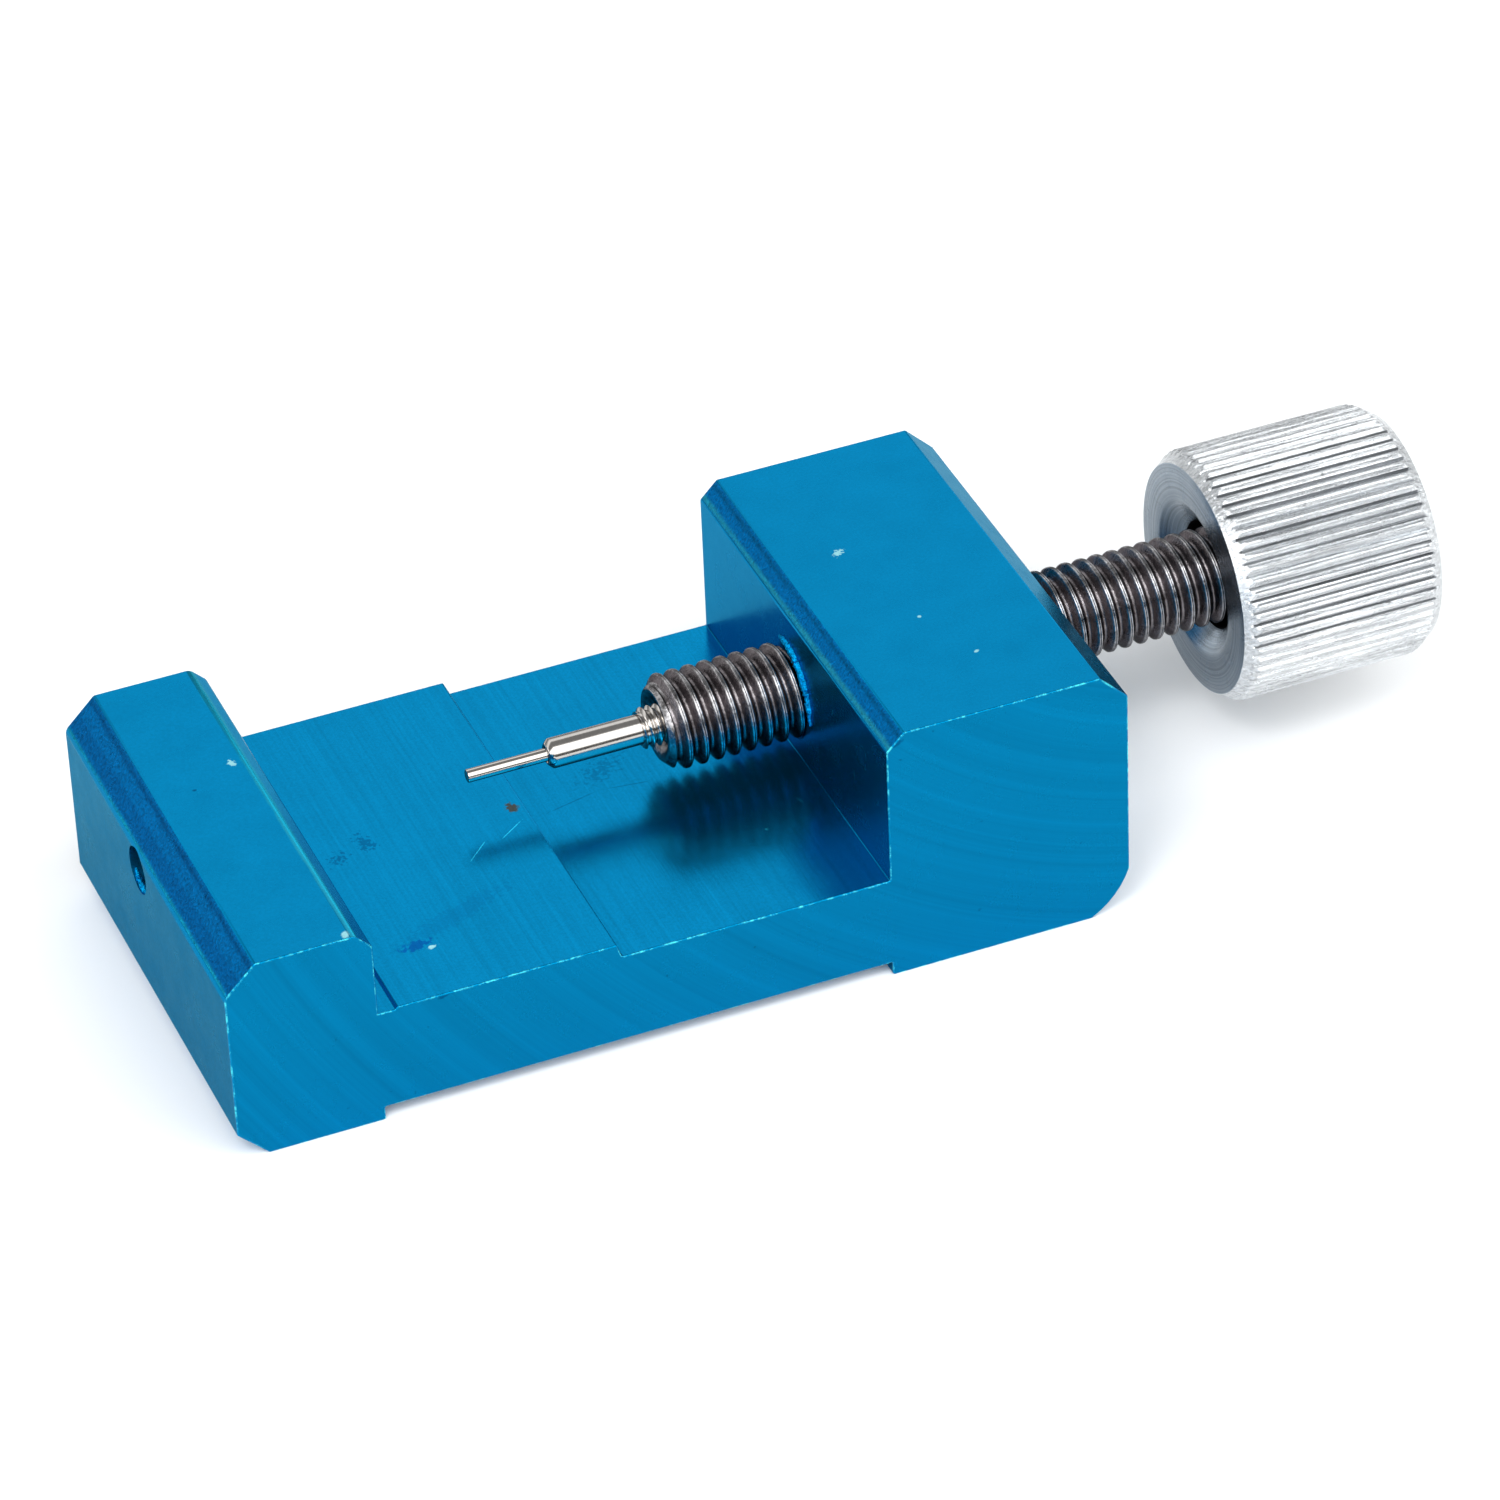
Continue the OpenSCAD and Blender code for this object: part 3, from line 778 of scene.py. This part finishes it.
def screw():
    bm = bmesh.new()
    start = SCREW_X - 2 * PITCH
    turns = int((KNOB_LOW.x + MOUTH_D - start) / PITCH) - 1
    helix(bm, start, turns, rod_profile(), PITCH, SCREW_STEPS)
    bmesh.ops.recalc_face_normals(bm, faces=bm.faces)
    halves = bmesh.ops.bisect_plane(bm, geom=bm.verts[:] + bm.edges[:] + bm.faces[:],
                                    plane_co=(SCREW_X, 0, 0), plane_no=(-1, 0, 0), clear_outer=True)
    edges = [g for g in halves["geom_cut"] if isinstance(g, bmesh.types.BMEdge)]
    end_r = THREAD_R - END_BEVEL
    for v in bm.verts:
        narrow(v, end_r + (v.co.x - SCREW_X))
    seat = ((SCREW_X, end_r - 0.25), (SCREW_X + 0.5, COLLAR_R + SEAT_LIP), (SCREW_X + SEAT_D, SEAT_R))
    for x, r in seat:
        made = bmesh.ops.extrude_edge_only(bm, edges=edges)["geom"]
        edges = [g for g in made if isinstance(g, bmesh.types.BMEdge)]
        for v in [g for g in made if isinstance(g, bmesh.types.BMVert)]:
            dy, dz = v.co.y - AXIS_Y, v.co.z - AXIS_Z
            s = r / math.hypot(dy, dz)
            v.co = Vector((x, AXIS_Y + dy * s, AXIS_Z + dz * s))
    bmesh.ops.contextual_create(bm, geom=edges)
    stem_x = KNOB_LOW.x + MOUTH_D - PITCH
    lathe(bm, [(stem_x, 0), (stem_x, STEM_R), (SCREW_HIGH.x, STEM_R), (SCREW_HIGH.x, 0)], 48)
    flanks, crests = range(2)
    for f in bm.faces:
        c = f.calc_center_median()
        # Crests and the front face take a lighter copy of the steel: a painted highlight.
        painted_highlight = c.x < SCREW_X + 0.45 or from_axis(c) > THREAD_R - 0.055
        f.material_index = crests if painted_highlight else flanks
    steel = metal("screw_steel", (0.19, 0.172, 0.178), (0.12, 0.22), [(cloud, 0.25), (speckle, 0.5)],
                  [(speckle, 0.016)], 0.25)
    crest = metal("screw_crest_highlight", (0.32, 0.31, 0.315), (0.08, 0.16), [(cloud, 0.1), (speckle, 0.7)],
                  [(speckle, 0.008)], 0.3)
    piece("screw_thread", bm, "spindle", "screw", [steel, crest], sharp=48)


# ---------------------------------------------------------------- the knob
def knob():
    rng = random.Random(7)
    per_tooth = len(KNURL_SHAPE)
    steps = KNURL_TEETH * per_tooth
    x0, x1 = KNOB_LOW.x, KNOB_HIGH.x
    top = (KNOB_HIGH.z - KNOB_LOW.z) / 2
    face_r = top - KNOB_BEVEL_R
    depth = [KNURL_DEPTH * (1 + rng.uniform(-0.14, 0.08)) for _ in range(KNURL_TEETH)]
    lean = [rng.uniform(-0.12, 0.12) for _ in range(KNURL_TEETH)]

    def knurl_r(i):
        return top - depth[i // per_tooth] * KNURL_SHAPE[i % per_tooth]

    def knurl_angle(i):
        share = i % per_tooth
        slip = lean[i // per_tooth] if share == KNURL_VALLEY else 0
        return TAU * (i + slip * per_tooth * 0.5) / steps

    bm = bmesh.new()
    rows = []

    def ring(x, r_of):
        rows.append([bm.verts.new(on_axis(x, r_of(i), knurl_angle(i))) for i in range(steps)])

    for x, r in ((x0 + MOUTH_D, ROOT_R), (x0 + MOUTH_D, MOUTH_R), (x0 + DISH_D + 0.12, MOUTH_R),
                 (x0 + DISH_D - 0.02, MOUTH_R + 0.1), (x0 + 0.06, DISH_R - 0.1), (x0, DISH_R + 0.12)):
        ring(x, lambda i, r=r: r)
    for s in (0.33, 0.66, 0.96):
        ring(x0, lambda i, s=s: DISH_R + (face_r - DISH_R) * s)
    for k in range(BEVEL_ROWS + 1):
        share = k / BEVEL_ROWS
        limit = face_r + KNOB_BEVEL_R * share
        ring(x0 + 0.02 + (KNOB_BEVEL_X - 0.02) * share, lambda i, m=limit: min(m, knurl_r(i)))
    for k in range(1, GRIP_ROWS):
        ring(x0 + KNOB_BEVEL_X + (x1 - x0 - 2 * KNOB_BEVEL_X) * k / GRIP_ROWS, knurl_r)
    for k in range(BEVEL_ROWS, -1, -1):
        share = k / BEVEL_ROWS
        limit = face_r + KNOB_BEVEL_R * share
        ring(x1 - KNOB_BEVEL_X * share, lambda i, m=limit: min(m, knurl_r(i)))
    for s in (0.97, 0.6, 0.3):
        ring(x1, lambda i, s=s: face_r * s)
    for a, b in zip(rows, rows[1:]):
        join_rings(bm, a, b)
    bm.faces.new(rows[-1])
    grip, face, mouth, groove = range(4)
    groove_from, groove_to = x0 + 0.55 * KNOB_BEVEL_X, x1 - 0.55 * KNOB_BEVEL_X
    for f in bm.faces:
        c = f.calc_center_median()
        reach = from_axis(c)
        f.material_index = grip
        if c.x < x0 + MOUTH_D + 0.1 and reach < face_r:
            f.material_index = mouth if reach < MOUTH_R + 0.01 else face
        elif groove_from < c.x < groove_to and face_r + 0.1 < reach < top - 0.72 * KNURL_DEPTH:
            f.material_index = groove
    bright = metal("knob_bright", (0.62, 0.635, 0.65), (0.22, 0.3),
                   [(cloud, 0.06), (roll_marks, 0.4), (nicks, 0.5)], [(roll_marks, 0.02)])
    # The knurl's valleys take a darker copy of the grip's steel: painted shade in the grooves.
    valley = metal("knob_valley_painted_shade", (0.4, 0.41, 0.425), (0.3, 0.4), [(cloud, 0.2), (roll_marks, 0.4)])
    # The turned face's dark blue-grey is a painted dim reflection of the block and the floor.
    turned = metal("knob_turned_painted_reflection", (0.22, 0.265, 0.31), (0.2, 0.3), [(cloud, 0.25), (face_rings, 0.3)],
                   [(face_rings, 0.006)])
    # Near-black inside the mouth round the screw: painted shade in the gap.
    inside = metal("knob_mouth_painted_shade", (0.03, 0.03, 0.032), (0.4, 0.5), [(cloud, 0.2)])
    finishes = [bright, turned, inside, valley]
    piece("knob_grip", bm, "spindle", "knob", finishes, sharp=28)


# ---------------------------------------------------------------- the punch and its holder
def sleeve(bm, base):
    """The holder's plain front part, bored for the punch and open behind, as far as base."""
    x0 = HOLDER_LOW.x
    hole = (PUNCH_HIGH.z - PUNCH_LOW.z) / 2 + PUNCH_GAP
    lathe(bm, [
        (x0 + 0.8, hole), (x0 + 0.06, hole), (x0, hole + 0.07), (x0, HOLDER_R - HOLDER_BEVEL),
        (x0 + 0.03, HOLDER_R - HOLDER_BEVEL + 0.05), (x0 + HOLDER_BEVEL - 0.03, HOLDER_R - 0.02),
        (x0 + HOLDER_BEVEL + 0.06, HOLDER_R), (base - 0.05, HOLDER_R), (base, HOLDER_R),
        (base, COLLAR_R - COLLAR_DEPTH - 0.1),
    ], 96)


def collar(bm, base):
    """The fine thread at the holder's root, run out into a bevel at its front."""
    start = base - COLLAR_PITCH
    profile = [(0, COLLAR_R - COLLAR_DEPTH), (0.2, COLLAR_R - COLLAR_DEPTH), (0.5, COLLAR_R - 0.02),
               (0.6, COLLAR_R), (0.7, COLLAR_R - 0.02)]
    before = set(bm.verts)
    helix(bm, start, 6, profile, COLLAR_PITCH, COLLAR_STEPS)
    added = set(bm.verts) - before
    for v in added:
        v.co.x = max(v.co.x, base - 0.02)
        narrow(v, COLLAR_R - COLLAR_BEVEL + (v.co.x - base + 0.02))
    bmesh.ops.dissolve_degenerate(bm, dist=1e-5, edges=[e for e in bm.edges if e.verts[0] in added])


def punch_holder():
    bm = bmesh.new()
    base = HOLDER_LOW.x + HOLDER_L
    sleeve(bm, base)
    collar(bm, base)
    polished = metal("holder_steel", (0.55, 0.52, 0.49), (0.1, 0.2), [(cloud, 0.1), (turning, 0.15)],
                     [(turning, 0.004)], 0.4)
    piece("holder_body", bm, "spindle", "punch_holder", [polished], sharp=35)


def punch():
    bm = bmesh.new()
    x0, x1 = PUNCH_LOW.x, PUNCH_HIGH.x
    r = (PUNCH_HIGH.z - PUNCH_LOW.z) / 2
    lathe(bm, [(x0, 0), (x0, r - PUNCH_BEVEL), (x0 + 0.02, r - PUNCH_BEVEL / 3), (x0 + PUNCH_BEVEL, r),
               (x1, r), (x1, 0)], 64)
    polished = metal("punch_steel", (0.56, 0.52, 0.48), (0.1, 0.18), [(cloud, 0.08), (turning, 0.1)],
                     [(turning, 0.002)], 0.4)
    piece("punch_pin", bm, "carriage", "punch", [polished], sharp=35)


# ---------------------------------------------------------------- studio
SKY = 2.8
# degrees about X, from level at the back over the top to level in front, and how bright it is there
SKY_LEVELS = (
    (0, 0.10), (12, 0.12), (22, 0.26), (31, 0.46), (50, 0.46),
    (57, 0.10), (99, 0.10), (108, 1.0), (154, 1.0), (163, 0.04),
)
SKY_TINT = (0.97, 0.99, 1.0)
# name, place in metres, width and height in metres, watts; each faces the part
SOFTBOXES = (
    ("key", (-0.3, -0.35, 0.6), (0.16, 0.16), 1.1),
    ("left", (-0.85, 0.2, 0.17), (0.3, 0.25), 0.35),
    ("right", (0.6, 0.7, 0.22), (0.35, 0.3), 0.5),
)
FLOOR_HALF, FLOOR_SHADE = 3.0, 0.93
CAMERA_AT = (-0.132485, -0.340371, 0.276163)
CAMERA_TURN = (53.5928, 2.0548, -22.4411)
CAMERA_LENS = 186.15


def camera():
    data = bpy.data.cameras.new("camera")
    data.sensor_width = 36
    data.lens = CAMERA_LENS
    data.clip_start, data.clip_end = 0.01, 20
    obj = bpy.data.objects.new("camera", data)
    obj.location = CAMERA_AT
    obj.rotation_euler = Euler([math.radians(a) for a in CAMERA_TURN], "XYZ")
    bpy.context.scene.collection.objects.link(obj)
    bpy.context.scene.camera = obj


def softbox(name, at, size, power):
    data = bpy.data.lights.new(name, "AREA")
    data.shape = "RECTANGLE"
    data.size, data.size_y = size
    data.energy = power
    obj = bpy.data.objects.new(name, data)
    obj.location = at
    obj.rotation_euler = (-Vector(at)).to_track_quat("-Z", "Y").to_euler()
    bpy.context.scene.collection.objects.link(obj)


def paint_sky(tree):
    """Long soft boxes along X: one low behind, one high in front, with dark gaps between them."""
    shade = tree.nodes["Background"]
    shade.inputs["Strength"].default_value = SKY
    parts = tree.nodes.new("ShaderNodeSeparateXYZ")
    tree.links.new(tree.nodes.new("ShaderNodeTexCoord").outputs["Generated"], parts.inputs[0])
    round_x = tree.nodes.new("ShaderNodeMath")
    round_x.operation = "ARCTAN2"
    tree.links.new(parts.outputs["Z"], round_x.inputs[0])
    tree.links.new(parts.outputs["Y"], round_x.inputs[1])
    share = tree.nodes.new("ShaderNodeMath")
    share.operation = "DIVIDE"
    tree.links.new(round_x.outputs[0], share.inputs[0])
    share.inputs[1].default_value = math.pi
    ramp = tree.nodes.new("ShaderNodeValToRGB")
    tree.links.new(share.outputs[0], ramp.inputs["Fac"])
    tree.links.new(ramp.outputs["Color"], shade.inputs["Color"])
    for i, (degrees, level) in enumerate(SKY_LEVELS):
        stops = ramp.color_ramp.elements
        stop = stops[i] if i < 2 else stops.new(degrees / 180)
        stop.position = degrees / 180
        stop.color = (*(level * c for c in SKY_TINT), 1)


def studio():
    mesh = bpy.data.meshes.new("floor")
    s = FLOOR_HALF
    mesh.from_pydata([(-s, -s, 0), (s, -s, 0), (s, s, 0), (-s, s, 0)], [], [(0, 1, 2, 3)])
    floor = bpy.data.objects.new("floor", mesh)
    mesh.materials.append(plain("floor_pale", (FLOOR_SHADE,) * 3, 0.7))
    bpy.context.scene.collection.objects.link(floor)
    world = bpy.data.worlds.new("studio")
    world.use_nodes = True
    paint_sky(world.node_tree)
    bpy.context.scene.world = world
    for box in SOFTBOXES:
        softbox(*box)
    view = bpy.context.scene.view_settings
    view.view_transform = "Standard"
    view.exposure = 0.0


camera()
studio()
block()
screw()
knob()
punch_holder()
punch()
